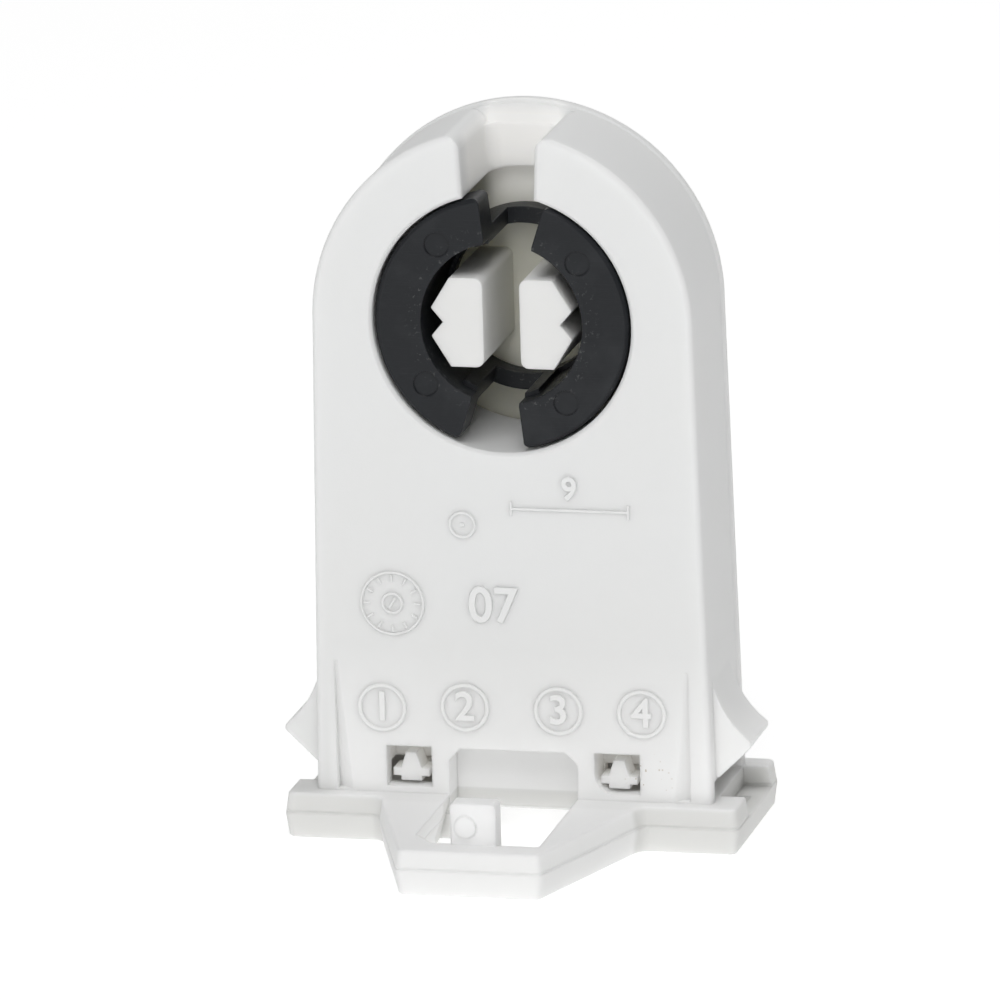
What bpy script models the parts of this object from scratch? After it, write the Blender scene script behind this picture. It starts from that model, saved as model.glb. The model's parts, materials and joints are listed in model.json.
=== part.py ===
# Fluorescent tube lamp holder with a rotor, snapped into a sheet from below.
# Sizes are in millimetres in the holder's own coordinates: x across, y back from the front face
# of the housing and z up from the lamp axis. The function at() turns them into world metres.
# The world origin is under the middle of the base, with the base's underside at Z = 0.

import math

import bmesh
import bpy

# Driving sizes of the housing
AXIS_TO_SEAT = 36.7
FLANGE_HEIGHT = 3.5
FLANGE_HALF_WIDTH = 17.6
FLANGE_FRONT = 1.5
BASE_BACK = 13.1
ARCH_RADIUS = 14.6
ARCH_RISE = 0.25
SIDE_TAPER = 1.15
BODY_DEPTH = 11.2
LOBE_DEPTH = 9.0
RIM_FRONT = 10.0
RIM_STEP = 0.15
EDGE_ROUND = 0.5
BACK_ROUND = 0.35
WALL = 1.5
DRAFT = 0.25
CORNER_ROUND = 0.8

# Entry channel and rotor seat
BORE_RADIUS = 9.95
BORE_WALL = 1.45
BORE_EDGE = 0.25
CHANNEL_HALF_WIDTH = 2.75
CHANNEL_SPREAD = 0.2
CHANNEL_ROUND = 1.2
CHANNEL_LIP = 0.4
CHANNEL_LIP_START = 250
CHANNEL_WALL = 0.6
CHANNEL_MOUTH = 4.0
CHANNEL_OVERLAP = 2.0
LOBE_CORNER = 1.0
LOBE_OVERLAP = 0.15

# Front loop of the base and its latch tab
LOOP_REACH = 15.1
LOOP_ROOT_HALF = 10.2
LOOP_FRONT_HALF = 5.5
LOOP_OPENING_HALF = 4.95
LOOP_UNDERCUT = 0.9
GUSSET_WIDTH = 1.6
GUSSET_LENGTH = 2.0
BAR_DEPTH = 2.4
TAB_HALF_WIDTH = 1.75
TAB_THICKNESS = 1.6
TAB_RISE = 3.2
TAB_BOSS_RADIUS = 0.85
TAB_BOSS_RISE = 0.25
TAB_BOSS_HEIGHT = 1.4

# Details of the housing's front
PANEL_TOP = 33.1
PANEL_DEPTH = 2.4
PANEL_CORNER = 0.9
FOOT_RISE = 1.9
WINDOW_INNER = 6.3
WINDOW_OUTER = 9.8
WINDOW_TOP = 33.05
WINDOW_BOTTOM = 36.2
WINDOW_CURVE = 1.5
WINDOW_BACK = 2.9
LEDGE_THICKNESS = 0.8
LEDGE_BOTTOM = 34.6
GROOVE_TOP = 26.5
GROOVE_OUTER = 13.65
GROOVE_WIDTH = 1.3
GROOVE_DEPTH = 0.8
GROOVE_START = 0.03

# Side barbs, and the ears of the flange under them
BARB_TOP = 26.0
BARB_TIP = 32.2
BARB_TIP_X = 18.05
BARB_FLAT = 0.4
BARB_TIP_ROUND = 0.25
BARB_SINK = 0.1
BARB_FOOT_GAP = 0.2
BARB_FOOT_REACH = 0.25
BARB_FRONT = 1.6
BARB_DEPTH = 6.0
SHEET_GAP = 1.5
SHEET_GAP_FRONT = 1.0
SHEET_GAP_BACK = 10.4
LIP_BACK = 2.4
REAR_LIP_FRONT = 10.7
SHELF_DROP = 1.6
EAR_SLOT_WIDTH = 1.2
EAR_SLOT_BACK = 8.0

# Rotor
ROTOR_GAP = 0.22
ROTOR_TURN = 6.0
ROTOR_FRONT = 0.2
DISC_THICKNESS = 3.1
DISC_BEVEL = 0.25
DRUM_INNER = 6.2
DRUM_OUTER = 7.1
RING_INNER = 5.85
RING_FRONT = 8.2
SLOT_INNER_HALF = 1.85
SLOT_OUTER_HALF = 2.4
SLOT_ROUND = 0.5
NOSE_START = 2.0
NOSE_ANGLE = 29.0
MARK_RADIUS = 0.95
MARK_CIRCLE = 7.65
MARK_DEPTH = 0.12

# Rear cover with its two fixed centre posts and two latch hooks
CLEARANCE = 0.3
COVER_THICKNESS = 1.0
POST_FRONT = 0.3
POST_SLOT_HALF = 1.42
POST_HALF_HEIGHT = 3.42
POST_SHOULDER = 3.95
POST_POINT = 5.4
POST_POINT_HEIGHT = 1.08
POST_NOTCH = 4.5
POST_ROUND = 0.6
POST_WALL = 0.8
POST_CORE_FRONT = 3.0
HOOK_HALF_WIDTH = 0.8
HOOK_TIP_HALF = 0.4
HOOK_BAR_HALF = 1.4
HOOK_BAR_TOP = 34.95
HOOK_BAR_BOTTOM = 35.55
HOOK_ARM_HEIGHT = 0.95
HOOK_HEAD_TOP = 33.7
HOOK_HEAD_FRONT = 0.6
EJECTOR_RADIUS = 1.5
EJECTOR_DEPTH = 0.15
EJECTOR_PLACES = ((9.5, 0.0), (9.5, -16.0), (9.5, -32.0))

# Contact strips and wire entries
CONTACT_THICKNESS = 0.35
CONTACT_FRONT = 4.2
CONTACT_WIDTH = 3.6
CONTACT_BEND = 0.9
CONTACT_TIGHT_BEND = 0.55
WIRE_HOLE_RADIUS = 1.1
WIRE_FUNNEL_RADIUS = 1.6
WIRE_FUNNEL_DEPTH = 0.7
WIRE_HOLE_X = 3.4
WIRE_HOLE_PITCH = 3.4

# Sizes that follow
AXIS_Z = AXIS_TO_SEAT + FLANGE_HEIGHT
FRONT_Y = (LOOP_REACH - BASE_BACK) / 2
SEAT = -AXIS_TO_SEAT
UNDERSIDE = -AXIS_Z
FOOT = UNDERSIDE + FOOT_RISE
TAPER = math.radians(SIDE_TAPER)
COVER_FRONT = BODY_DEPTH - COVER_THICKNESS
BORE_BACK = COVER_FRONT - CLEARANCE
ROTOR_RADIUS = BORE_RADIUS - ROTOR_GAP
PAST = 1.0
MM = 0.001

for old in list(bpy.data.objects):
    bpy.data.objects.remove(old)


def at(x, y, z):
    """World place, in metres, of a point given in the holder's own millimetres."""
    return (x * MM, (y + FRONT_Y) * MM, (z + AXIS_Z) * MM)


def material(name, colour, roughness, metallic=0.0):
    made = bpy.data.materials.new(name)
    made.use_nodes = True
    shader = made.node_tree.nodes["Principled BSDF"]
    shader.inputs["Base Color"].default_value = (*colour, 1.0)
    shader.inputs["Roughness"].default_value = roughness
    shader.inputs["Metallic"].default_value = metallic
    return made


def loft(name, loops, place=at):
    """A closed solid through loops with equal numbers of points, capped at both ends."""
    bm = bmesh.new()
    rings = [[bm.verts.new(place(*point)) for point in loop] for loop in loops]
    count = len(rings[0])
    for near, far in zip(rings, rings[1:]):
        for i in range(count):
            j = (i + 1) % count
            bm.faces.new((near[i], near[j], far[j], far[i]))
    bm.faces.new(rings[0][::-1])
    bm.faces.new(rings[-1])
    bmesh.ops.remove_doubles(bm, verts=bm.verts, dist=1e-7)
    bmesh.ops.recalc_face_normals(bm, faces=bm.faces)
    mesh = bpy.data.meshes.new(name)
    bm.to_mesh(mesh)
    bm.free()
    made = bpy.data.objects.new(name, mesh)
    bpy.context.collection.objects.link(made)
    return made


def prism_y(name, outline, y0, y1, place=at):
    """An outline of (x, z) points carried from y0 to y1."""
    return loft(name, [[(x, y, z) for x, z in outline] for y in (y0, y1)], place)


def prism_z(name, outline, z0, z1):
    """An outline of (x, y) points carried from z0 to z1."""
    return loft(name, [[(x, y, z) for x, y in outline] for z in (z0, z1)])


def box(name, x0, x1, y0, y1, z0, z1):
    return prism_z(name, [(x0, y0), (x1, y0), (x1, y1), (x0, y1)], z0, z1)


def arc(radius, start, end, steps, x=0.0, z=0.0):
    """Points along an arc, with its angles in degrees from the +x side towards +z."""
    turns = [math.radians(start + (end - start) * i / steps) for i in range(steps + 1)]
    return [(x + radius * math.cos(t), z + radius * math.sin(t)) for t in turns]


def disc_y(name, radius, y0, y1, x=0.0, z=0.0, sides=32, place=at):
    return prism_y(name, arc(radius, 0, 360, sides, x, z)[:-1], y0, y1, place)


def combine(target, other, operation):
    step = target.modifiers.new(f"{operation.lower()}_{other.name}", "BOOLEAN")
    step.operation = operation
    step.object = other
    step.solver = "EXACT"
    other.hide_render = True
    other.display_type = "WIRE"


def cut(target, *cutters):
    for cutter in cutters:
        combine(target, cutter, "DIFFERENCE")


def join(target, *others):
    for other in others:
        combine(target, other, "UNION")


def line_meet(a, b, c, d):
    """Where the line through a and b meets the line through c and d."""
    ux, uz = b[0] - a[0], b[1] - a[1]
    vx, vz = d[0] - c[0], d[1] - c[1]
    share = ((c[0] - a[0]) * vz - (c[1] - a[1]) * vx) / (ux * vz - uz * vx)
    return (a[0] + share * ux, a[1] + share * uz)


def shifted(a, b, offset):
    """The line from a to b moved to its left by offset."""
    length = math.hypot(b[0] - a[0], b[1] - a[1])
    nx, nz = -(b[1] - a[1]) / length * offset, (b[0] - a[0]) / length * offset
    return (a[0] + nx, a[1] + nz), (b[0] + nx, b[1] + nz)


def inset(outline, distance):
    """A counterclockwise outline drawn in by distance all round."""
    count = len(outline)
    lines = [shifted(outline[i], outline[(i + 1) % count], distance) for i in range(count)]
    return [line_meet(*lines[i - 1], *lines[i]) for i in range(count)]


def rounded_corner(before, corner, after, radius, steps):
    """Points of the arc that rounds one corner of a path."""
    ins = [math.atan2(p[1] - corner[1], p[0] - corner[0]) for p in (before, after)]
    half = abs((ins[1] - ins[0] + math.pi) % (2 * math.pi) - math.pi) / 2
    back = radius / math.tan(half)
    middle_turn = math.atan2(sum(map(math.sin, ins)), sum(map(math.cos, ins)))
    reach = radius / math.sin(half)
    cx = corner[0] + reach * math.cos(middle_turn)
    cz = corner[1] + reach * math.sin(middle_turn)
    ends = [(corner[0] + back * math.cos(t), corner[1] + back * math.sin(t)) for t in ins]
    turns = [math.atan2(e[1] - cz, e[0] - cx) for e in ends]
    sweep = (turns[1] - turns[0] + math.pi) % (2 * math.pi) - math.pi
    return [
        (cx + radius * math.cos(turns[0] + sweep * i / steps), cz + radius * math.sin(turns[0] + sweep * i / steps))
        for i in range(steps + 1)
    ]


def rounded(outline, radii, steps=4):
    """A closed outline with each corner rounded to its own radius; 0 leaves it sharp."""
    points = []
    for i, radius in enumerate(radii):
        if radius:
            after = outline[(i + 1) % len(outline)]
            points += rounded_corner(outline[i - 1], outline[i], after, radius, steps)
        else:
            points.append(outline[i])
    return points


def strip(path, thickness):
    """The outline of a strip of this thickness along an open path."""
    sides = []
    for offset in (thickness / 2, -thickness / 2):
        lines = [shifted(a, b, offset) for a, b in zip(path, path[1:])]
        joints = [line_meet(*p, *q) for p, q in zip(lines, lines[1:])]
        sides.append([lines[0][0], *joints, lines[-1][1]])
    return sides[0] + sides[1][::-1]


def mirrored(outline, side):
    """The outline as it is on the right (side 1), or turned over to the left (side -1)."""
    return [(side * x, z) for x, z in outline]


def half_width(z):
    """Half the width of the body's tapered sides at a height z below the axis."""
    return ARCH_RADIUS / math.cos(TAPER) - z * math.tan(TAPER)


def body_outline(drawn_in=0.0, bottom=FOOT, steps=56):
    """The arch, lifted a little at its crown, on its two slightly spreading sides."""
    spread = SIDE_TAPER
    crown = arc(ARCH_RADIUS - drawn_in, -spread, 180 + spread, steps)
    crown = [(x, z + ARCH_RISE * max(0.0, z / ARCH_RADIUS)) for x, z in crown]
    foot = half_width(bottom) - drawn_in / math.cos(TAPER)
    return [*crown, (-foot, bottom), (foot, bottom)]


def body_shell():
    """The outer form: a rounded front edge and, behind a small step, the rim at the back."""
    loops = []
    for t in (90, 67.5, 45, 22.5, 0):
        turn = math.radians(t)
        loops.append((EDGE_ROUND * (1 - math.sin(turn)), EDGE_ROUND * (1 - math.cos(turn))))
    loops.append((RIM_FRONT, 0.0))
    for t in (0, 45, 90):
        turn = math.radians(t)
        drawn = BACK_ROUND * (1 - math.cos(turn)) - RIM_STEP
        loops.append((BODY_DEPTH - BACK_ROUND * (1 - math.sin(turn)), drawn))
    loops.insert(6, (RIM_FRONT + RIM_STEP, -RIM_STEP))
    return loft("housing", [[(x, y, z) for x, z in body_outline(d)] for y, d in loops])


def base_frame():
    """The flange's two ears and the tapering front loop, with draft above and below the middle."""
    front = -FLANGE_FRONT
    corners = [
        (-FLANGE_HALF_WIDTH, front),
        (-LOOP_ROOT_HALF, front),
        (-LOOP_FRONT_HALF, -LOOP_REACH),
        (LOOP_FRONT_HALF, -LOOP_REACH),
        (LOOP_ROOT_HALF, front),
        (FLANGE_HALF_WIDTH, front),
        (FLANGE_HALF_WIDTH, BASE_BACK),
        (-FLANGE_HALF_WIDTH, BASE_BACK),
    ]
    plan = rounded(corners, [CORNER_ROUND] * len(corners))
    middle = UNDERSIDE + FLANGE_HEIGHT / 2
    edge = DRAFT / 2
    levels = [
        (UNDERSIDE, DRAFT + edge),
        (UNDERSIDE + edge, DRAFT),
        (middle, 0.0),
        (SEAT - edge, DRAFT),
        (SEAT, DRAFT + edge),
    ]
    return loft("base_frame", [[(x, y, z) for x, y in inset(plan, d)] for z, d in levels])


def inner_cavity():
    """The space behind the front wall and under the rotor seat, open to the back."""
    floor = FOOT + WALL
    tube = BORE_RADIUS + BORE_WALL
    top = -3.5
    lean = math.degrees(math.asin(-top / tube))
    outline = [
        (half_width(top) - WALL, top),
        (tube * math.cos(math.radians(lean)), top),
        *arc(tube, -lean, lean - 180, 30)[1:-1],
        (-tube * math.cos(math.radians(lean)), top),
        (-half_width(top) + WALL, top),
        (-half_width(floor) + WALL, floor),
        (half_width(floor) - WALL, floor),
    ]
    return prism_y("cavity", outline, WALL, BODY_DEPTH + PAST)


def along_channel(z):
    """How far up the channel a height z is: 0 at the rotor's seat, 1 at the top of the arch."""
    return (z - BORE_RADIUS) / (ARCH_RADIUS - BORE_RADIUS)


def channel_half(z):
    return CHANNEL_HALF_WIDTH + CHANNEL_SPREAD * along_channel(z)


def entry_channel():
    """The open channel between the lobes, with soft front edges and round inner corners."""
    end = BORE_BACK - CHANNEL_WALL
    loops = []
    for z in (BORE_RADIUS - CHANNEL_OVERLAP, ARCH_RADIUS + CHANNEL_MOUTH):
        half = channel_half(z)
        back = end + (LOBE_DEPTH - end) * along_channel(z)
        lip = arc(CHANNEL_LIP, CHANNEL_LIP_START, 180, 3, half + CHANNEL_LIP, CHANNEL_LIP)
        corner = rounded_corner((half, 0.0), (half, back), (0.0, back), CHANNEL_ROUND, 5)
        right = [(lip[0][0], -PAST), *lip, *corner]
        loops.append([(x, y, z) for x, y in right + mirrored(right[::-1], -1)])
    return loft("channel", loops)


def outer_corner(half, outer, radius):
    """The arc that rounds the corner between a wall at x = half and a circle about the axis."""
    cx = half + radius
    cz = math.sqrt((outer - radius) ** 2 - cx**2)
    return arc(radius, 180, math.degrees(math.atan2(cz, cx)), 6, cx, cz)


def lobe_corners():
    """Rounds the lobes' upper corners beside the channel."""
    crown = ARCH_RADIUS + ARCH_RISE
    right = outer_corner(channel_half(ARCH_RADIUS - LOBE_CORNER), crown, LOBE_CORNER)
    above = (right[-1][0] + PAST / 2, right[-1][1] + 2 * PAST)
    outline = [(0.0, right[0][1]), *right, above, *mirrored([above, *right[::-1]], -1)]
    return prism_y("lobe_corners", outline, -PAST, LOBE_DEPTH + LOBE_OVERLAP)


def bore():
    """The rotor's seat, with a small chamfer at its front edge."""
    rings = [(-PAST, PAST + BORE_EDGE), (BORE_EDGE, 0.0), (BORE_BACK + PAST, 0.0)]
    loops = []
    for y, wider in rings:
        circle = arc(BORE_RADIUS + wider, 0, 360, 96)[:-1]
        loops.append([(x, y, z) for x, z in circle])
    return loft("bore", loops)


def window_outline(side):
    """A latch window; the right one has a curved lower inner corner."""
    corners = [
        (WINDOW_INNER, -WINDOW_BOTTOM),
        (WINDOW_OUTER, -WINDOW_BOTTOM),
        (WINDOW_OUTER, -WINDOW_TOP),
        (WINDOW_INNER, -WINDOW_TOP),
    ]
    if side > 0:
        return rounded(corners, [WINDOW_CURVE, 0, 0, 0])
    return mirrored(corners, side)


def groove(side):
    """A groove beside the barb's column, steep outside and hollow inside, deeper to the flange."""
    section = [(0.0, 1.0), (0.35, 0.75), (0.7, 0.3), (1.0, -0.1)]
    loops = []
    for z, depth in ((-GROOVE_TOP, GROOVE_START), (SEAT + CLEARANCE / 2, GROOVE_DEPTH)):
        width = GROOVE_WIDTH * (0.2 + 0.8 * depth / GROOVE_DEPTH)
        wall = [(GROOVE_OUTER - width * along, depth * share) for along, share in section]
        outline = [(GROOVE_OUTER, -CLEARANCE), *wall, (GROOVE_OUTER - width, -CLEARANCE)]
        loops.append([(side * x, y, z) for x, y in outline])
    return loft(f"groove_{'left' if side < 0 else 'right'}", loops)


def barb(side):
    """A snap barb: concave above, a small flat at its rounded tip and a steep return below."""
    root = half_width(-BARB_TOP) - BARB_SINK
    drop = BARB_TIP - BARB_TOP
    out = BARB_TIP_X - root
    radius = (out**2 + drop**2) / (2 * out)
    sweep = math.degrees(math.asin(drop / radius))
    curve = arc(radius, 180, 180 + sweep, 8, root + radius, -BARB_TOP)
    foot = SEAT + SHEET_GAP + BARB_FOOT_GAP
    root_inside = root - WALL / 2
    outline = [
        (root_inside, -BARB_TOP),
        *curve,
        (BARB_TIP_X, -BARB_TIP - BARB_FLAT),
        (half_width(foot) + BARB_FOOT_REACH, foot),
        (root_inside, foot),
    ]
    radii = [0.0] * len(curve) + [BARB_TIP_ROUND, BARB_TIP_ROUND, 0.0, 0.0]
    outline = rounded(outline, radii, 3)
    name = f"barb_{'left' if side < 0 else 'right'}"
    return prism_y(name, mirrored(outline, side), BARB_FRONT, BARB_FRONT + BARB_DEPTH)


CONTACT_PATH = [
    (8.3, 4.4),
    (7.8, 0.0),
    (8.1, -3.4),
    (9.4, -9.0),
    (9.4, -20.0),
    (5.8, -23.6),
    (5.8, -33.6),
    (4.5, -33.6),
    (2.6, -28.6),
]


def contact_route():
    """The strip's centre line on the right side, with its bends rounded."""
    route = [CONTACT_PATH[0]]
    for i in range(1, len(CONTACT_PATH) - 1):
        before, corner, after = CONTACT_PATH[i - 1 : i + 2]
        radius = CONTACT_TIGHT_BEND if i in (6, 7) else CONTACT_BEND
        route += rounded_corner(before, corner, after, radius, 4)
    return [*route, CONTACT_PATH[-1]]


def sided(side, x0, x1, *rest):
    """A box on the right (side 1) or, turned over, on the left."""
    name, *spans = rest
    low, high = sorted((side * x0, side * x1))
    return box(f"{name}_{'left' if side < 0 else 'right'}", low, high, *spans)


def wire_holes():
    """Two funnelled wire entries on each side, under the push-in ends of the contacts."""
    middle = CONTACT_FRONT + CONTACT_WIDTH / 2
    made = []
    for side in (-1, 1):
        for row in (-1, 1):
            x, y = side * WIRE_HOLE_X, middle + row * WIRE_HOLE_PITCH / 2
            levels = [
                (FOOT - PAST, WIRE_FUNNEL_RADIUS),
                (FOOT, WIRE_FUNNEL_RADIUS),
                (FOOT + WIRE_FUNNEL_DEPTH, WIRE_HOLE_RADIUS),
                (FOOT + WALL + PAST, WIRE_HOLE_RADIUS),
            ]
            loops = [[(px, py, z) for px, py in arc(r, 0, 360, 16, x, y)[:-1]] for z, r in levels]
            made.append(loft(f"wire_hole_{len(made) + 1}", loops))
    return made


def loop_opening():
    """The opening through the loop: its sides spread downwards, and one corner has a gusset."""
    bar_inside = -LOOP_REACH + BAR_DEPTH
    loops = []
    for z, spread in ((SEAT + PAST, 0.0), (SEAT, 0.0), (UNDERSIDE, LOOP_UNDERCUT), (UNDERSIDE - PAST, LOOP_UNDERCUT)):
        half = LOOP_OPENING_HALF
        outline = [
            (-half - spread, 0.0),
            (-half, bar_inside + GUSSET_LENGTH),
            (-half + GUSSET_WIDTH, bar_inside),
            (half, bar_inside),
            (half + spread, 0.0),
        ]
        loops.append([(x, y, z) for x, y in outline])
    return loft("loop_opening", loops)


def latch_tab():
    """The upright latch tab on the inner edge of the loop's front bar."""
    front = -LOOP_REACH + BAR_DEPTH - DRAFT
    outline = rounded(
        [
            (-TAB_HALF_WIDTH, SEAT - PAST),
            (TAB_HALF_WIDTH, SEAT - PAST),
            (TAB_HALF_WIDTH, SEAT + TAB_RISE),
            (-TAB_HALF_WIDTH, SEAT + TAB_RISE),
        ],
        [0, 0, CLEARANCE, CLEARANCE],
    )
    return prism_y("latch_tab", outline, front, front + TAB_THICKNESS)


def make_housing():
    housing = body_shell()
    join(housing, base_frame())
    cut(housing, inner_cavity())
    backing = box(
        "panel_backing",
        -LOOP_OPENING_HALF - WALL,
        LOOP_OPENING_HALF + WALL,
        WALL / 2,
        PANEL_DEPTH + WALL,
        FOOT,
        -PANEL_TOP + WALL,
    )
    join(housing, backing)
    panel = [
        (-LOOP_OPENING_HALF, FOOT - CLEARANCE),
        (LOOP_OPENING_HALF, FOOT - CLEARANCE),
        (LOOP_OPENING_HALF, -PANEL_TOP - PANEL_CORNER),
        (LOOP_OPENING_HALF - PANEL_CORNER, -PANEL_TOP),
        (-LOOP_OPENING_HALF + PANEL_CORNER, -PANEL_TOP),
        (-LOOP_OPENING_HALF, -PANEL_TOP - PANEL_CORNER),
    ]
    cut(housing, prism_y("panel_recess", panel, -FLANGE_FRONT - PAST, PANEL_DEPTH))
    below = UNDERSIDE - PAST
    half = LOOP_OPENING_HALF
    cut(housing, loop_opening())
    cut(housing, box("foot_middle", -half, half, -FLANGE_FRONT, BODY_DEPTH / 2, below, FOOT))
    hollow = LOOP_ROOT_HALF - WALL
    cut(housing, box("foot_hollow", -hollow, hollow, PANEL_DEPTH + WALL, BODY_DEPTH - CLEARANCE, below, FOOT))
    cut(housing, bore(), entry_channel(), lobe_corners())
    join(housing, latch_tab())
    tab_front = -LOOP_REACH + BAR_DEPTH - DRAFT
    boss_spans = (tab_front - TAB_BOSS_RISE, tab_front + TAB_THICKNESS / 2)
    boss_place = (-TAB_HALF_WIDTH / 3, SEAT + TAB_BOSS_HEIGHT, 24)
    join(housing, disc_y("tab_boss", TAB_BOSS_RADIUS, *boss_spans, *boss_place))
    cover_room = body_outline(WALL, SEAT)
    cut(housing, prism_y("cover_room", cover_room, BORE_BACK, BODY_DEPTH + PAST))
    for side in (-1, 1):
        word = "left" if side < 0 else "right"
        ledge = (WALL / 2, WINDOW_BACK + LEDGE_THICKNESS, -LEDGE_BOTTOM, -PANEL_TOP + 1.1 * WALL)
        join(housing, sided(side, WINDOW_INNER - WALL / 2, WINDOW_OUTER + WALL, "latch_ledge", *ledge))
        window = prism_y(f"window_{word}", window_outline(side), -PAST, WINDOW_BACK)
        cut(housing, window, groove(side))
        join(housing, barb(side))
        wall_in = half_width(SEAT) - WALL
        out = FLANGE_HALF_WIDTH + PAST
        shelf = SEAT - SHELF_DROP
        gap = (SHEET_GAP_FRONT, SHEET_GAP_BACK, SEAT, SEAT + SHEET_GAP)
        cut(housing, sided(side, wall_in - CLEARANCE, out, "sheet_gap", *gap))
        outside = half_width(SEAT)
        cut(housing, sided(side, outside, out, "shelf", LIP_BACK, REAR_LIP_FRONT, shelf, SEAT + PAST / 2))
        slot = (LIP_BACK, EAR_SLOT_BACK, below, SEAT)
        cut(housing, sided(side, outside, outside + EAR_SLOT_WIDTH, "ear_slot", *slot))
        passage = strip(CONTACT_PATH[2:4], CONTACT_THICKNESS + 2 * CLEARANCE)
        passage_front = CONTACT_FRONT - CLEARANCE
        cut(housing, prism_y(f"contact_passage_{word}", mirrored(passage, side), passage_front, BORE_BACK + PAST))
    cut(housing, *wire_holes())
    return housing


def make_cover():
    bottom = SEAT + CLEARANCE
    cover = prism_y("rear_cover", body_outline(WALL + CLEARANCE, bottom), COVER_FRONT, BODY_DEPTH)
    for side in (-1, 1):
        word = "left" if side < 0 else "right"
        corners = [
            (POST_SLOT_HALF, -POST_HALF_HEIGHT),
            (POST_SHOULDER, -POST_HALF_HEIGHT),
            (POST_POINT, -POST_POINT_HEIGHT),
            (POST_NOTCH, 0.0),
            (POST_POINT, POST_POINT_HEIGHT),
            (POST_SHOULDER, POST_HALF_HEIGHT),
            (POST_SLOT_HALF, POST_HALF_HEIGHT),
        ]
        edge = POST_ROUND / 2
        outline = rounded(corners, [POST_ROUND, edge / 2, edge / 2, 0, edge / 2, edge / 2, POST_ROUND])
        outline = mirrored(outline, side)
        join(cover, prism_y(f"post_{word}", outline, POST_FRONT, COVER_FRONT + COVER_THICKNESS / 2))
        x = side * (WINDOW_INNER + WINDOW_OUTER) / 2
        low = -WINDOW_BOTTOM + CLEARANCE
        arm = [
            (x - HOOK_HALF_WIDTH, low),
            (x + HOOK_HALF_WIDTH, low),
            (x + HOOK_HALF_WIDTH, low + HOOK_ARM_HEIGHT),
            (x - HOOK_HALF_WIDTH, low + HOOK_ARM_HEIGHT),
        ]
        half_head = [
            (HOOK_HALF_WIDTH, low),
            (HOOK_HALF_WIDTH, -HOOK_BAR_BOTTOM),
            (HOOK_BAR_HALF, -HOOK_BAR_BOTTOM),
            (HOOK_BAR_HALF, -HOOK_BAR_TOP),
            (HOOK_HALF_WIDTH, -HOOK_BAR_TOP),
            (HOOK_TIP_HALF, -HOOK_HEAD_TOP),
        ]
        head = [(x + dx, z) for dx, z in half_head + mirrored(half_head[::-1], -1)]
        head_back = WINDOW_BACK - CLEARANCE
        join(cover, prism_y(f"hook_arm_{word}", arm, head_back - CLEARANCE, COVER_FRONT + COVER_THICKNESS / 2))
        join(cover, prism_y(f"hook_head_{word}", head, HOOK_HEAD_FRONT, head_back))
        core = (POST_CORE_FRONT, BODY_DEPTH + PAST, -POST_HALF_HEIGHT + POST_WALL, POST_HALF_HEIGHT - POST_WALL)
        cut(cover, sided(side, POST_SLOT_HALF + POST_WALL, POST_SHOULDER - POST_WALL, "post_core", *core))
        for i, (place_x, place_z) in enumerate(EJECTOR_PLACES):
            spans = (BODY_DEPTH - EJECTOR_DEPTH, BODY_DEPTH + PAST)
            mark = disc_y(f"ejector_{word}_{i + 1}", EJECTOR_RADIUS, *spans, side * place_x, place_z)
            cut(cover, mark)
    return cover


def turned(name, profile, sides, place):
    """A closed ring turned about the lamp axis from a profile of (radius, y) points."""
    bm = bmesh.new()
    rings = []
    for i in range(sides):
        turn = 2 * math.pi * i / sides
        spin = (math.cos(turn), math.sin(turn))
        rings.append([bm.verts.new(place(r * spin[0], y, r * spin[1])) for r, y in profile])
    for i in range(sides):
        near, far = rings[i], rings[(i + 1) % sides]
        for k in range(len(profile)):
            m = (k + 1) % len(profile)
            bm.faces.new((near[k], near[m], far[m], far[k]))
    bmesh.ops.recalc_face_normals(bm, faces=bm.faces)
    mesh = bpy.data.meshes.new(name)
    bm.to_mesh(mesh)
    bm.free()
    made = bpy.data.objects.new(name, mesh)
    bpy.context.collection.objects.link(made)
    return made


def on_axis(x, y, z):
    """A place relative to the lamp axis, for what turns with the rotor."""
    return (x * MM, y * MM, z * MM)


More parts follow.
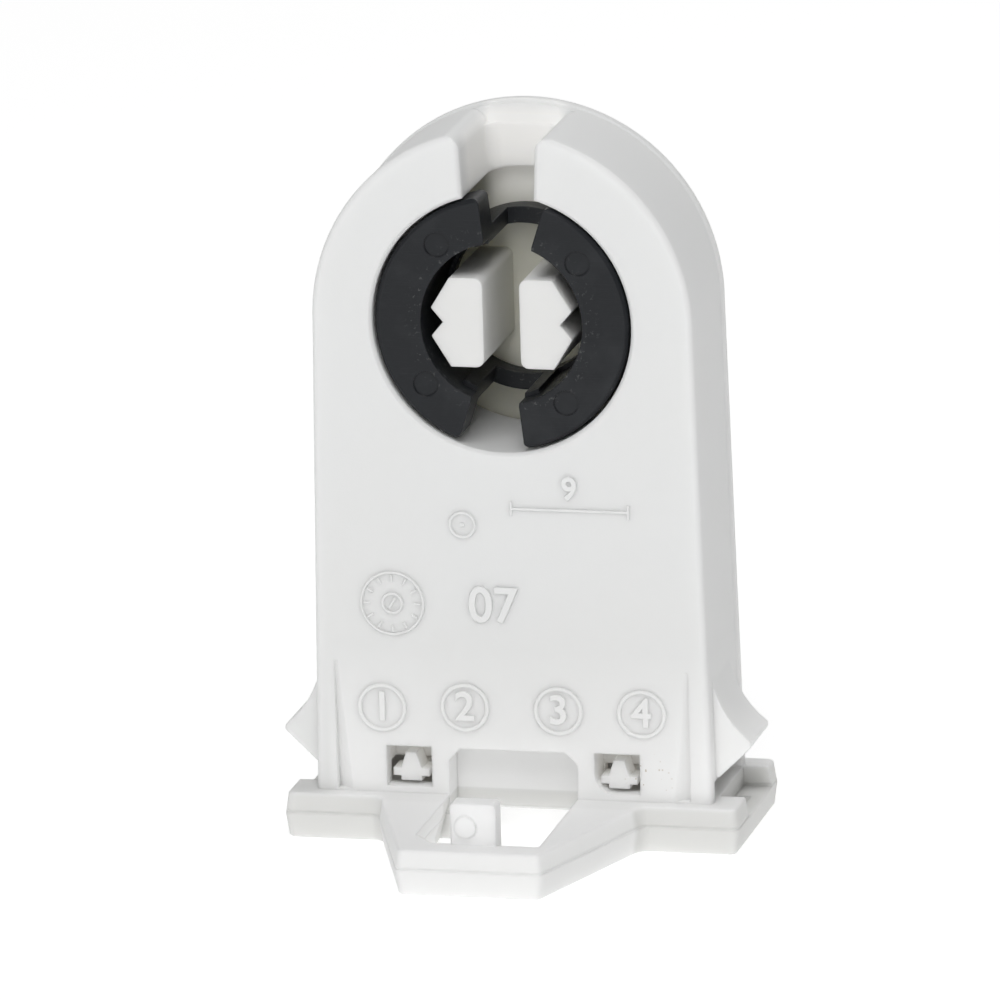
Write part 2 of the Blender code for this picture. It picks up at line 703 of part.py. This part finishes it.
def make_rotor():
    disc_back = ROTOR_FRONT + DISC_THICKNESS
    profile = [
        (DRUM_INNER, ROTOR_FRONT),
        (ROTOR_RADIUS - DISC_BEVEL, ROTOR_FRONT),
        (ROTOR_RADIUS, ROTOR_FRONT + DISC_BEVEL),
        (ROTOR_RADIUS, disc_back),
        (DRUM_OUTER, disc_back),
        (DRUM_OUTER, BORE_BACK),
        (RING_INNER, BORE_BACK),
        (RING_INNER, RING_FRONT),
        (DRUM_INNER, RING_FRONT),
    ]
    rotor = turned("rotor", profile, 96, on_axis)
    pieces = []
    slot_edge = math.degrees(math.asin(SLOT_INNER_HALF / RING_INNER)) - 4
    for middle in (90, 270):
        for way in (-1, 1):
            start, end = middle + way * slot_edge, middle + way * NOSE_ANGLE
            low, high = min(start, end), max(start, end)
            outer = arc(DRUM_INNER + CLEARANCE, low, high, 5)
            nose = outer + arc(RING_INNER, high, low, 5)
            name = f"nose_{len(pieces) + 1}"
            back = RING_FRONT + CLEARANCE
            pieces.append(prism_y(name, nose, NOSE_START, back, on_axis))
    join(rotor, *pieces)
    cutters = []
    for up in (1, -1):
        corner = outer_corner(SLOT_OUTER_HALF, ROTOR_RADIUS, SLOT_ROUND)
        outline = [
            (SLOT_INNER_HALF, RING_INNER - PAST),
            (SLOT_INNER_HALF, DRUM_INNER),
            *corner,
            (corner[-1][0] + CLEARANCE, ROTOR_RADIUS + PAST),
        ]
        outline += [(-x, z) for x, z in outline[::-1]]
        outline = [(x, up * z) for x, z in outline]
        cutters.append(prism_y(f"pin_slot_{up + 2}", outline, -PAST, RING_FRONT, on_axis))
    for i in range(4):
        turn = math.radians(45 + 90 * i)
        x, z = MARK_CIRCLE * math.cos(turn), MARK_CIRCLE * math.sin(turn)
        mark_back = ROTOR_FRONT + MARK_DEPTH
        cutters.append(disc_y(f"mark_{i + 1}", MARK_RADIUS, -PAST, mark_back, x, z, 24, on_axis))
    cut(rotor, *cutters)
    lamp_axis = bpy.data.objects.new("lamp_axis", None)
    bpy.context.collection.objects.link(lamp_axis)
    lamp_axis.location = at(0, 0, 0)
    lamp_axis.rotation_euler = (0.0, math.radians(ROTOR_TURN), 0.0)
    for piece in [rotor, *pieces, *cutters]:
        piece.parent = lamp_axis
    return rotor


def make_contact(side):
    outline = mirrored(strip(contact_route(), CONTACT_THICKNESS), side)
    name = f"contact_{'left' if side < 0 else 'right'}"
    return prism_y(name, outline, CONTACT_FRONT, CONTACT_FRONT + CONTACT_WIDTH)


white = material("white_moulding", (0.80, 0.80, 0.78), 0.45)
black = material("black_moulding", (0.03, 0.033, 0.036), 0.35)
copper = material("copper_alloy", (0.72, 0.42, 0.25), 0.3, 1.0)

finishes = [
    (make_housing(), white),
    (make_cover(), white),
    (make_rotor(), black),
    (make_contact(-1), copper),
    (make_contact(1), copper),
]
for piece, finish in finishes:
    piece.data.materials.append(finish)
    piece.data.shade_smooth()
    piece.data.set_sharp_from_angle(angle=math.radians(35))
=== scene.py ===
# %% [markdown]
# # A lamp holder for a fluorescent tube
#
# The object is a small snap-in holder, 55 mm tall. A white housing with a round top holds a black
# rotor. The tube's pins go down through the channel at the top, and a quarter turn locks them.
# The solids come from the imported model, already at their real size and place. This script gives
# each of them soft moulded edges and a finish, and sets up the camera, the light and the floor.

# %% Load the model
import json
import math

import bpy
from mathutils import Matrix, Vector

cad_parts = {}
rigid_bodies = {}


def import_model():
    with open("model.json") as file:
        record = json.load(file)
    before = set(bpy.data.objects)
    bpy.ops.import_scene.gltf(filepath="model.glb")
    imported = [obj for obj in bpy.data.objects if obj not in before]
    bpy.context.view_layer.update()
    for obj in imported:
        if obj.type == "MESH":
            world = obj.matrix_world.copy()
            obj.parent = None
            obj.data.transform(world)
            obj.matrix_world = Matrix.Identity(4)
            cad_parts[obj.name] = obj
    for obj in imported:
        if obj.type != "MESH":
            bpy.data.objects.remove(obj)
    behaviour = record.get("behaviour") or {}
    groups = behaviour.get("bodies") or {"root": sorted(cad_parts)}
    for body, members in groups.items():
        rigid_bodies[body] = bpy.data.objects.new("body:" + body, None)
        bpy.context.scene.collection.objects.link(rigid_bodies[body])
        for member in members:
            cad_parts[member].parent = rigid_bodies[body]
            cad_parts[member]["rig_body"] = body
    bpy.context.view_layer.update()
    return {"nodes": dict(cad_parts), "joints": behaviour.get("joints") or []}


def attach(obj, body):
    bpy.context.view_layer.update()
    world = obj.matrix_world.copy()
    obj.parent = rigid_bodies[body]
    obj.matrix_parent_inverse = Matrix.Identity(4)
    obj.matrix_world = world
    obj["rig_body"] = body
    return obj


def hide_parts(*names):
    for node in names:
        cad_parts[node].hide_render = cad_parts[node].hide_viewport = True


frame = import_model()
MM = 0.001
print("solids:", sorted(frame["nodes"]))

# %% [markdown]
# ## Places on the holder
#
# It is easier to think from the lamp axis than from the ground, so one function turns a place on
# the holder into a place in the world: x to the right, y back from the front face, z up from the
# axis. The rotor's joint gives the axis.

# %% The holder's own coordinates
axis_point = Vector(frame["joints"][0]["pos_m"])
FRONT_FACE = axis_point.y


def on_holder(x, y, z):
    """World place, in metres, of a point given in millimetres from the lamp axis and front face."""
    return Vector((x * MM, FRONT_FACE + y * MM, axis_point.z + z * MM))


print("lamp axis in mm:", [round(c / MM, 2) for c in axis_point])

# %% [markdown]
# ## Camera
#
# The photo was taken with a long lens from a little to the right and above, and the holder leans
# to one side by more than a degree. The angles below come from measured corners of the holder in
# the photo. The picture's middle is a little above and left of the point that the camera turns
# about, so the camera is moved sideways by that much instead of using lens shift.

# %% Camera at the photo's angle
AZIMUTH = math.radians(13.9)
ELEVATION = math.radians(15.0)
ROLL = math.radians(1.64)
CAMERA_DISTANCE = 950
LENS = 455.9
LOOK_AT = on_holder(0, 0, -20)
PICTURE_LEFT = 0.585
PICTURE_UP = 6.24

towards_camera = Vector((
    math.sin(AZIMUTH) * math.cos(ELEVATION),
    -math.cos(AZIMUTH) * math.cos(ELEVATION),
    math.sin(ELEVATION),
))
level = Vector((math.cos(AZIMUTH), math.sin(AZIMUTH), 0))
upright = towards_camera.cross(level)
picture_right = math.cos(ROLL) * level - math.sin(ROLL) * upright
picture_up = math.sin(ROLL) * level + math.cos(ROLL) * upright

bpy.ops.object.select_all(action="DESELECT")
bpy.ops.object.camera_add()
camera = bpy.context.object
camera.name = "photo_camera"
place = LOOK_AT + towards_camera * CAMERA_DISTANCE * MM
place += (picture_up * PICTURE_UP - picture_right * PICTURE_LEFT) * MM
turn = Matrix((picture_right, picture_up, towards_camera)).transposed()
camera.matrix_world = Matrix.Translation(place) @ turn.to_4x4()
camera.data.lens = LENS
camera.data.clip_start = 0.01
camera.data.clip_end = 20
bpy.context.scene.camera = camera
print("camera at", [round(c, 3) for c in place])

# %% [markdown]
# ## Light and floor
#
# The photo has a bright, even studio light: a large soft source above the camera, a small low one
# that catches the edges from the left, and one behind for the top of the arch. The right side of
# the housing is one step darker than its front, so the surround is dim and the fill weak. The
# floor glows as a lit table does, so the picture's ground is white with only a faint shadow.

# %% Studio
SURROUND_STRENGTH = 0.16
TABLE_SIZE = 12
TABLE_GREY = 0.45
TABLE_ROUGHNESS = 0.7
TABLE_GLOW = 0.71
bpy.context.scene.view_settings.view_transform = "Standard"


def soft_light(name, azimuth, elevation, distance, size, power):
    """An area light aimed at the holder, by its direction in degrees and its distance in metres."""
    a, e = math.radians(azimuth), math.radians(elevation)
    back = Vector((math.sin(a) * math.cos(e), -math.cos(a) * math.cos(e), math.sin(e)))
    bpy.ops.object.light_add(type="AREA", location=LOOK_AT + back * distance)
    light = bpy.context.object
    light.name = name
    light.rotation_mode = "QUATERNION"
    light.rotation_quaternion = back.to_track_quat("Z", "Y")
    light.data.shape = "DISK"
    light.data.size = size
    light.data.energy = power
    return light


soft_light("key", 6, 55, 0.7, 0.45, 2.35)
soft_light("low_front", -14, -2, 0.8, 0.3, 0.62)
soft_light("fill", 8, 22, 0.9, 0.5, 0.75)
soft_light("back", 172, 60, 0.8, 0.5, 1.8)

world = bpy.data.worlds.new("studio")
bpy.context.scene.world = world
world.use_nodes = True
surround = world.node_tree.nodes["Background"]
surround.inputs["Color"].default_value = (1.0, 1.0, 1.0, 1.0)
surround.inputs["Strength"].default_value = SURROUND_STRENGTH

bpy.ops.object.select_all(action="DESELECT")
bpy.ops.mesh.primitive_plane_add(size=TABLE_SIZE)
floor = bpy.context.object
floor.name = "floor"
pale = bpy.data.materials.new("pale_floor")
pale.use_nodes = True
table = pale.node_tree.nodes["Principled BSDF"]
table.inputs["Base Color"].default_value = (TABLE_GREY, TABLE_GREY, TABLE_GREY, 1.0)
table.inputs["Roughness"].default_value = TABLE_ROUGHNESS
table.inputs["Emission Color"].default_value = (1.0, 1.0, 1.0, 1.0)
table.inputs["Emission Strength"].default_value = TABLE_GLOW
floor.data.materials.append(pale)

# %% [markdown]
# ## Writing materials as sums
#
# A moulded surface is a sum of small effects: grain, a slow change of tone, a few specks. Adding
# one Math node by hand for each plus sign hides that. So a small class wraps a node's output, and
# a plain Python sum on it adds the Math nodes. Every other node comes from one method that takes
# its type, its settings and its inputs. A profile is a ramp whose stops are places on the holder,
# and a region is the product of one profile for each direction that bounds it.

# %% A small class for shader sums


class Signal:
    """The output of a node. Arithmetic on it adds Math nodes to the same material."""

    def __init__(self, recipe, socket):
        self.recipe = recipe
        self.socket = socket

    def math(self, operation, *values):
        inputs = dict(enumerate(values))
        return self.recipe.node("ShaderNodeMath", {"operation": operation}, inputs)

    def __add__(self, other):
        return self.math("ADD", self, other)

    def __sub__(self, other):
        return self.math("SUBTRACT", self, other)

    def __rsub__(self, other):
        return self.math("SUBTRACT", other, self)

    def __mul__(self, other):
        return self.math("MULTIPLY", self, other)

    def __abs__(self):
        return self.math("ABSOLUTE", self)

    __radd__ = __add__
    __rmul__ = __mul__


class Finish:
    """A material whose Principled shader is fed by nodes made here."""

    def __init__(self, name, **fixed):
        self.material = bpy.data.materials.new(name)
        self.material.use_nodes = True
        self.tree = self.material.node_tree
        self.shader = self.tree.nodes["Principled BSDF"]
        for words, value in fixed.items():
            self.shader.inputs[words.replace("_", " ")].default_value = value
        self.millimetres = self.node(
            "ShaderNodeVectorMath",
            {"operation": "SCALE"},
            {0: self.node("ShaderNodeTexCoord", output="Object"), "Scale": 1 / MM},
        )

    def node(self, kind, settings=None, inputs=None, output=0):
        """Adds a node, sets it up and returns one of its outputs as a signal."""
        made = self.tree.nodes.new(kind)
        for words, value in (settings or {}).items():
            if words == "stops":
                self.set_stops(made.color_ramp, value)
            else:
                setattr(made, words, value)
        for key, value in (inputs or {}).items():
            if isinstance(value, Signal):
                self.tree.links.new(value.socket, made.inputs[key])
            else:
                made.inputs[key].default_value = value
        return Signal(self, made.outputs[output])

    def set_stops(self, ramp, stops):
        while len(ramp.elements) < len(stops):
            ramp.elements.new(0.5)
        for element, (position, colour) in zip(ramp.elements, stops):
            element.position = position
            element.color = colour

    def noise(self, size, detail=2.0, vector=None, roughness=0.5):
        """Soft noise whose lumps are about this many millimetres across."""
        inputs = {
            "Vector": vector or self.millimetres,
            "Scale": 1 / size,
            "Detail": detail,
            "Roughness": roughness,
        }
        return self.node("ShaderNodeTexNoise", None, inputs, "Fac")

    def ramp(self, signal, stops):
        """A grey ramp through (position, value) stops."""
        greys = [(position, (value, value, value, 1.0)) for position, value in stops]
        return self.node("ShaderNodeValToRGB", {"stops": greys}, {"Fac": signal}, "Color")

    def profile(self, signal, stops):
        """Grey values through (place, value) stops whose places are in millimetres."""
        first, last = stops[0][0], stops[-1][0]
        span = last - first
        return self.ramp((signal - first) * (1 / span), [((p - first) / span, v) for p, v in stops])

    def place(self):
        """The place in millimetres: across from the axis, back from the front face, up from the base."""
        x, y, z = [
            self.node("ShaderNodeSeparateXYZ", None, {0: self.millimetres}, axis) for axis in "XYZ"
        ]
        return x, y - FRONT_FACE / MM, z

    def region(self, bounds):
        """How far a place lies inside a region, given as stops for each direction that bounds it."""
        across, depth, height = self.place()
        signals = {"across": across, "aside": abs(across), "depth": depth, "height": height}
        shares = [self.profile(signals[way], stops) for way, stops in bounds.items()]
        return math.prod(shares[1:], start=shares[0])

    def mix(self, share, first, second):
        """A colour between two, by share."""
        settings = {"data_type": "RGBA"}
        inputs = {0: share, 6: first, 7: second}
        return self.node("ShaderNodeMix", settings, inputs, 2)

    def specks(self, spacing, radius):
        """1 inside small scattered dots, 0 elsewhere; one dot in each cell of this spacing."""
        inputs = {"Vector": self.millimetres, "Scale": 1 / spacing, "Randomness": 1.0}
        distance = self.node("ShaderNodeTexVoronoi", None, inputs, "Distance")
        return self.ramp(distance, [(0.0, 1.0), (radius / spacing, 1.0), (1.4 * radius / spacing, 0.0)])

    def soft_edges(self, radius):
        """A normal that turns smoothly round every edge, as if it were rounded to this radius."""
        return self.node("ShaderNodeBevel", {"samples": 4}, {"Radius": radius * MM})

    def bump(self, height, depth, edge):
        """A bump whose full swing is depth millimetres, over edges softened by edge, if any."""
        inputs = {"Height": height, "Distance": depth * MM}
        if edge:
            inputs["Normal"] = self.soft_edges(edge)
        return self.node("ShaderNodeBump", None, inputs)

    def feed(self, **signals):
        for words, signal in signals.items():
            self.tree.links.new(signal.socket, self.shader.inputs[words.replace("_", " ")])
        return self.material


print("shader helpers ready")

# %% [markdown]
# ## White moulding
#
# The housing is a stiff white plastic from a lightly sparked mould, so it is satin and not glossy,
# with a grain finer than a quarter of a millimetre. Light soaks a millimetre into it, which takes
# the hardness off its small edges. Its tone drifts a little over some centimetres and turns
# slightly warmer low down, and a few grey specks sit in it. Deep inside, painted shade makes it
# olive grey behind the rotor and tan behind the latch windows. The thin walls of the entry channel
# carry painted light in a paler colour, and they and the walls behind the windows get a faint
# painted glow. A paler colour painted on the front loop and the foot of the body stands in for light
# thrown back by the table, and painted shade makes the flange's front a little darker. A fine
# parting line runs round the flange at half its height, and handling has left a few brown specks
# beside the right window. All these places are in millimetres.

# %% White plastic
WHITE = (0.797, 0.802, 0.799, 1.0)
WARM_WHITE = (0.797, 0.792, 0.775, 1.0)
COVER_WHITE = (0.79, 0.79, 0.78, 1.0)
# Painted light and shade: a paler white for painted light, a darker white for painted shade, and olive
# grey and tan for painted shade deep inside.
PAINTED_LIGHT_WHITE = (0.95, 0.95, 0.945, 1.0)
SHADED = (0.75, 0.75, 0.735, 1.0)
PAINTED_SHADE_OLIVE = (0.66, 0.655, 0.595, 1.0)
PAINTED_SHADE_TAN = (0.80, 0.77, 0.70, 1.0)
SPECK_GREY = (0.52, 0.51, 0.49, 1.0)
STAIN = (0.50, 0.42, 0.32, 1.0)
DARK = (0.0, 0.0, 0.0, 1.0)
# A faint painted glow, full on the channel walls and about half as strong behind the windows.
PAINTED_GLOW = (0.090, 0.086, 0.076, 1.0)
PAINTED_WINDOW_GLOW = 0.53
THROUGH = 1.1

# Painted light on the foot of the body and on the front loop.
BODY_FOOT = {
    "height": [(3.35, 0.0), (3.48, 0.6), (4.4, 0.8), (15.0, 0.0)],
    "across": [(-14.4, 0.0), (-13.2, 1.0)],
}
FRONT_LOOP = {"depth": [(-2.6, 0.55), (-1.9, 0.0)]}
# Painted shade on the flange's front.
FLANGE_FRONT = {"height": [(3.2, 1.0), (3.45, 0.0)], "depth": [(-2.4, 0.0), (-1.9, 1.0)]}
INSIDE_OF_BACK = {"depth": [(10.4, 1.0), (10.6, 0.0)]}
BELOW_CHANNEL = {"height": [(46.0, 1.0), (55.0, 0.0)]}
# Painted shade deep inside is olive grey above this height and tan below it.
ROTOR_LEVEL = {"height": [(28.0, 0.0), (30.0, 1.0)]}
# Painted light and painted glow on the walls of the entry channel.
CHANNEL_WALLS = {
    "aside": [(2.65, 1.0), (3.45, 0.0)],
    "depth": [(1.0, 0.0), (3.0, 1.0)],
    "height": [(46.0, 0.0), (52.0, 1.0), (54.0, 1.0), (55.0, 0.3)],
}
# Painted glow behind the windows.
BEHIND_WINDOWS = {
    "aside": [(5.7, 0.0), (6.3, 1.0), (11.1, 1.0), (11.7, 0.0)],
    "height": [(4.0, 0.0), (4.8, 1.0), (13.2, 1.0), (15.0, 0.0)],
    "depth": [(0.6, 0.0), (1.4, 1.0), (9.0, 1.0), (9.5, 0.0)],
}
PARTING_LINE = {"height": [(1.9, 0.0), (2.05, 1.0), (2.2, 0.0)]}
PARTING_WEIGHT = 8.0
HANDLED_ACROSS = 10.4
HANDLED_HEIGHT = 5.4
HANDLED_SQUARED = [(0.0, 0.7), (5.0, 0.0)]


def white_plastic(name, white, grain_depth, edge=0, through=0, painted_shade_depths=None):
    """White moulded plastic; the last argument: depths where painted shade deep inside begins and is
    full.
    """
    finish = Finish(
        name,
        Specular_IOR_Level=0.25,
        Emission_Strength=1.0,
        Subsurface_Weight=0.85 if through else 0.0,
        Subsurface_Radius=(1.0, 1.0, 1.0),
        Subsurface_Scale=through * MM,
    )
    across, depth, height = finish.place()
    not_back = finish.region(INSIDE_OF_BACK)
    drift = finish.noise(14.0, 2.0)
    low = finish.profile(height, [(0.0, 0.4), (30.0, 0.0)])
    colour = finish.mix(low + (drift - 0.5) * 0.6, white, WARM_WHITE)
    # Painted light on the foot and the front loop, painted shade on the flange's front.
    for bounds, tone in ((BODY_FOOT, PAINTED_LIGHT_WHITE), (FRONT_LOOP, PAINTED_LIGHT_WHITE), (FLANGE_FRONT, SHADED)):
        colour = finish.mix(finish.region(bounds), colour, tone)

    dots = finish.specks(3.4, 0.055) * finish.ramp(finish.noise(5.0), [(0.55, 0.0), (0.62, 0.55)])
    colour = finish.mix(dots, colour, SPECK_GREY)
    right, up = across - HANDLED_ACROSS, height - HANDLED_HEIGHT
    handled = finish.profile(right * right + up * up, HANDLED_SQUARED) * not_back
    colour = finish.mix(finish.specks(0.5, 0.06) * handled, colour, STAIN)

    # Painted shade deep inside, by depth, below the channel and off the back.
    if painted_shade_depths:
        painted_deep_shade = finish.mix(finish.region(ROTOR_LEVEL), PAINTED_SHADE_TAN, PAINTED_SHADE_OLIVE)
        inside = finish.profile(depth, list(zip(painted_shade_depths, (0.0, 1.0))))
        inside = inside * not_back * finish.region(BELOW_CHANNEL)
        colour = finish.mix(inside, colour, painted_deep_shade)
    # Painted light on the channel walls, then the painted glow there and behind the windows.
    channel = finish.region(CHANNEL_WALLS) * not_back
    colour = finish.mix(channel, colour, PAINTED_LIGHT_WHITE)
    glow = finish.mix(finish.region(BEHIND_WINDOWS) * PAINTED_WINDOW_GLOW + channel, DARK, PAINTED_GLOW)

    grain = finish.noise(0.16, 3.0)
    ripple = finish.noise(2.2, 1.0)
    relief = grain * 0.5 + ripple * 0.9 - finish.region(PARTING_LINE) * PARTING_WEIGHT
    shine = 0.46 + grain * 0.08 + drift * 0.06
    normal = finish.bump(relief, grain_depth, edge)
    return finish.feed(Base_Color=colour, Roughness=shine, Emission_Color=glow, Normal=normal)


housing_white = white_plastic("housing_white", WHITE, 0.012, 0.22, THROUGH)
cover_white = white_plastic("cover_white", COVER_WHITE, 0.01, 0.15, THROUGH, (1.0, 9.5))
mark_white = white_plastic("mark_white", WHITE, 0.006)
print("white finishes:", [finish.name for finish in (housing_white, cover_white, mark_white)])

# %% [markdown]
# ## Black moulding
#
# The rotor is a hard black plastic, a little glossier than the housing. Pins and caps rub its
# front, so fine scratches in two directions change its shine, and its black is a cold dark grey.
# Where pins slide in, round the bore and the slots, they have left small pale nicks.

# %% Black plastic
BLACK = (0.0085, 0.0100, 0.0125, 1.0)
RUBBED_BLACK = (0.024, 0.026, 0.029, 1.0)
NICKED = (0.085, 0.088, 0.088, 1.0)
NICKED_SQUARED = [(36.0, 0.9), (60.0, 0.0)]


def stretched(finish, angle, length):
    """Coordinates pulled out along one direction in the front plane, for scratches."""
    settings = {"vector_type": "POINT"}
    inputs = {
        "Vector": finish.millimetres,
        "Rotation": (0.0, math.radians(angle), 0.0),
        "Scale": (1.0 / length, 1.0, 1.0),
    }
    return finish.node("ShaderNodeMapping", settings, inputs)


def black_plastic(name):
    finish = Finish(name, Specular_IOR_Level=0.26)
    grain = finish.noise(0.12, 2.0)
    cloud = finish.noise(3.0, 3.0)
    scratch = finish.noise(0.10, 1.0, stretched(finish, 35, 30))
    cross = finish.noise(0.12, 1.0, stretched(finish, -50, 25))
    lines = finish.ramp(scratch, [(0.62, 0.0), (0.70, 1.0)])
    lines = lines + finish.ramp(cross, [(0.64, 0.0), (0.72, 0.8)])
    worn = finish.ramp(cloud, [(0.45, 0.0), (0.75, 0.6)]) + lines * 0.25
    colour = finish.mix(worn, BLACK, RUBBED_BLACK)
    nicks = finish.ramp(finish.noise(0.42, 3.0, roughness=0.7), [(0.60, 0.0), (0.68, 1.0)])
    across, _, height = finish.place()
    up = height - axis_point.z / MM
    by_bore = finish.profile(across * across + up * up, NICKED_SQUARED)
    colour = finish.mix(nicks * by_bore, colour, NICKED)
    shine = 0.30 + cloud * 0.16 + lines * 0.12
    normal = finish.bump(grain + lines * 0.4, 0.006, 0.14)
    return finish.feed(Base_Color=colour, Roughness=shine, Normal=normal)


rotor_black = black_plastic("rotor_black")
print("black finish:", rotor_black.name)

# %% [markdown]
# ## Copper strip
#
# The contacts are cut from rolled strip, which keeps fine lines along its length. Where the air
# has reached it, the bright copper has gone browner.

# %% Rolled copper
COPPER = (0.80, 0.47, 0.29, 1.0)
BROWNED = (0.42, 0.24, 0.15, 1.0)


def rolled_copper(name):
    finish = Finish(name, Metallic=1.0)
    settings = {"vector_type": "POINT"}
    inputs = {"Vector": finish.millimetres, "Scale": (1.0, 14.0, 0.25)}
    rolled = finish.noise(1.0, 3.0, finish.node("ShaderNodeMapping", settings, inputs))
    tarnish = finish.ramp(finish.noise(2.5, 3.0), [(0.48, 0.0), (0.8, 0.8)])
    colour = finish.mix(tarnish, COPPER, BROWNED)
    shine = 0.22 + rolled * 0.16 + tarnish * 0.2
    normal = finish.bump(rolled, 0.004, 0.05)
    return finish.feed(Base_Color=colour, Roughness=shine, Normal=normal)


contact_copper = rolled_copper("contact_copper")
print("copper finish:", contact_copper.name)

# %% [markdown]
# ## A dressed copy of each solid
#
# Each piece is a copy of its solid, welded and freed of needless cuts in its flat faces. Its
# normals are weighted by the area of the faces, so a flat face stays flat right up to the narrow
# rounding next to it. The finish then softens the sharp edges. The copy stands in for the solid.

# %% Copies of the solids
WELD = 0.002
FLAT = math.radians(0.3)
SHARP = math.radians(32)
AREA_WEIGHT = 90


def select_only(*pieces):
    bpy.ops.object.select_all(action="DESELECT")
    for piece in pieces:
        piece.select_set(True)
    bpy.context.view_layer.objects.active = pieces[0]


def dressed_copy(node, name, finish):
    """A copy of a solid with clean faces and this finish, which stands in for it."""
    piece = frame["nodes"][node].copy()
    piece.data = piece.data.copy()
    piece.name = name
    for key in list(piece.keys()):
        del piece[key]
    piece.parent = None
    bpy.context.collection.objects.link(piece)
    select_only(piece)
    bpy.ops.mesh.customdata_custom_splitnormals_clear()
    bpy.ops.object.mode_set(mode="EDIT")
    bpy.ops.mesh.select_all(action="SELECT")
    bpy.ops.mesh.remove_doubles(threshold=WELD * MM)
    bpy.ops.mesh.dissolve_limited(angle_limit=FLAT)
    bpy.ops.object.mode_set(mode="OBJECT")
    bpy.ops.object.shade_smooth_by_angle(angle=SHARP)
    weighted = piece.modifiers.new("flat_faces", "WEIGHTED_NORMAL")
    weighted.keep_sharp = True
    weighted.weight = AREA_WEIGHT
    bpy.ops.object.modifier_apply(modifier=weighted.name)
    piece.data.materials.clear()
    piece.data.materials.append(finish)
    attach(piece, frame["nodes"][node]["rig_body"])
    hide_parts(node)
    print(name, "has", len(piece.data.polygons), "faces")
    return piece


housing = dressed_copy("housing", "housing_moulding", housing_white)
cover = dressed_copy("rear_cover", "cover_moulding", cover_white)
rotor = dressed_copy("rotor", "rotor_moulding", rotor_black)
for side in ("left", "right"):
    strip = dressed_copy(f"contact_{side}", f"{side}_strip", contact_copper)

# %% [markdown]
# ## Raised marks on the front
#
# The front carries low moulded marks in the housing's own white. Each of them is plain: four
# ringed figures for the wire entries, a gauge that shows how much of a wire to strip, a number
# for the mould's cavity, a dial for the month of moulding and a small ring. They stand a tenth
# of a millimetre proud, so only their edges catch the light.

# %% Marks on the front face
MARK_RISE = 0.12
STROKE = 0.32
FINE_STROKE = 0.2
CAPITAL_SHARE = 0.7
mark_pieces = []


def keep_mark(piece):
    """Makes a finished mark a plain mesh at the origin and puts it with the others."""
    select_only(piece)
    if piece.type != "MESH":
        bpy.ops.object.convert(target="MESH")
    bpy.ops.object.transform_apply(location=True, rotation=True, scale=True)
    mark_pieces.append(piece)


def raised_ring(x, z, radius, stroke=STROKE):
    """A ring sunk into the front face, so that a low rounded rib is left."""
    bpy.ops.mesh.primitive_torus_add(
        major_radius=radius * MM,
        minor_radius=stroke / 2 * MM,
        major_segments=64,
        minor_segments=12,
        location=on_holder(x, stroke / 2 - MARK_RISE, z),
        rotation=(math.pi / 2, 0, 0),
    )
    keep_mark(bpy.context.object)


def raised_bar(x, z, length, turn=0.0, stroke=STROKE):
    """A low rounded rib of this length about its middle, turned in the front plane."""
    bpy.ops.mesh.primitive_cylinder_add(
        vertices=12,
        radius=stroke / 2 * MM,
        depth=length * MM,
        location=on_holder(x, stroke / 2 - MARK_RISE, z),
        rotation=(0, math.radians(90 - turn), 0),
    )
    keep_mark(bpy.context.object)


def raised_figures(words, x, z, height):
    """Plain raised figures, centred on a place."""
    bpy.ops.object.text_add(location=on_holder(x, 0, z), rotation=(math.pi / 2, 0, 0))
    figures = bpy.context.object
    figures.data.body = words
    figures.data.size = height / CAPITAL_SHARE * MM
    figures.data.align_x = "CENTER"
    figures.data.align_y = "CENTER"
    figures.data.extrude = MARK_RISE * 0.4 * MM
    figures.data.bevel_depth = MARK_RISE * 0.6 * MM
    figures.data.bevel_resolution = 2
    keep_mark(figures)


# %% Ringed figures beside the wire entries
RING_RADIUS = 1.74
RING_PLACES = ((-10.03, -30.1), (-3.61, -29.87), (3.61, -29.87), (10.03, -29.87))
for number, (x, z) in enumerate(RING_PLACES, start=1):
    raised_ring(x, z, RING_RADIUS)
    raised_figures(str(number), x, z, 2.2)
print("marks so far:", len(mark_pieces))

# %% Stripping gauge, cavity number, month dial and small ring
GAUGE_X, GAUGE_Z = 4.9, -14.2
GAUGE_LENGTH = 9.0
raised_bar(GAUGE_X, GAUGE_Z, GAUGE_LENGTH, stroke=FINE_STROKE)
for end in (-0.5, 0.5):
    raised_bar(GAUGE_X + end * GAUGE_LENGTH, GAUGE_Z, 1.1, 90, FINE_STROKE)
raised_figures("9", GAUGE_X, GAUGE_Z + 1.6, 1.7)

raised_figures("07", -1.2, -21.9, 2.7)

DIAL_X, DIAL_Z = -9.0, -21.9
DIAL_RADIUS = 2.4
HUB_RADIUS = 0.75
TICK_RADIUS = 1.95
for radius in (DIAL_RADIUS, HUB_RADIUS):
    raised_ring(DIAL_X, DIAL_Z, radius, FINE_STROKE)
for month in range(12):
    turn = math.radians(30 * month)
    x, z = DIAL_X + TICK_RADIUS * math.cos(turn), DIAL_Z + TICK_RADIUS * math.sin(turn)
    raised_bar(x, z, 0.5, 30 * month, 0.18)
raised_bar(DIAL_X, DIAL_Z, 0.9, 60, FINE_STROKE)

SMALL_X, SMALL_Z = -3.4, -15.6
raised_ring(SMALL_X, SMALL_Z, 0.95, 0.22)
raised_bar(SMALL_X, SMALL_Z, 0.3, 0, 0.3)

select_only(*mark_pieces)
bpy.ops.object.join()
marks = bpy.context.object
marks.name = "front_marks"
marks.data.materials.clear()
marks.data.materials.append(mark_white)
bpy.ops.object.shade_smooth_by_angle(angle=SHARP)
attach(marks, frame["nodes"]["housing"]["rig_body"])
print("front marks:", len(marks.data.polygons), "faces")
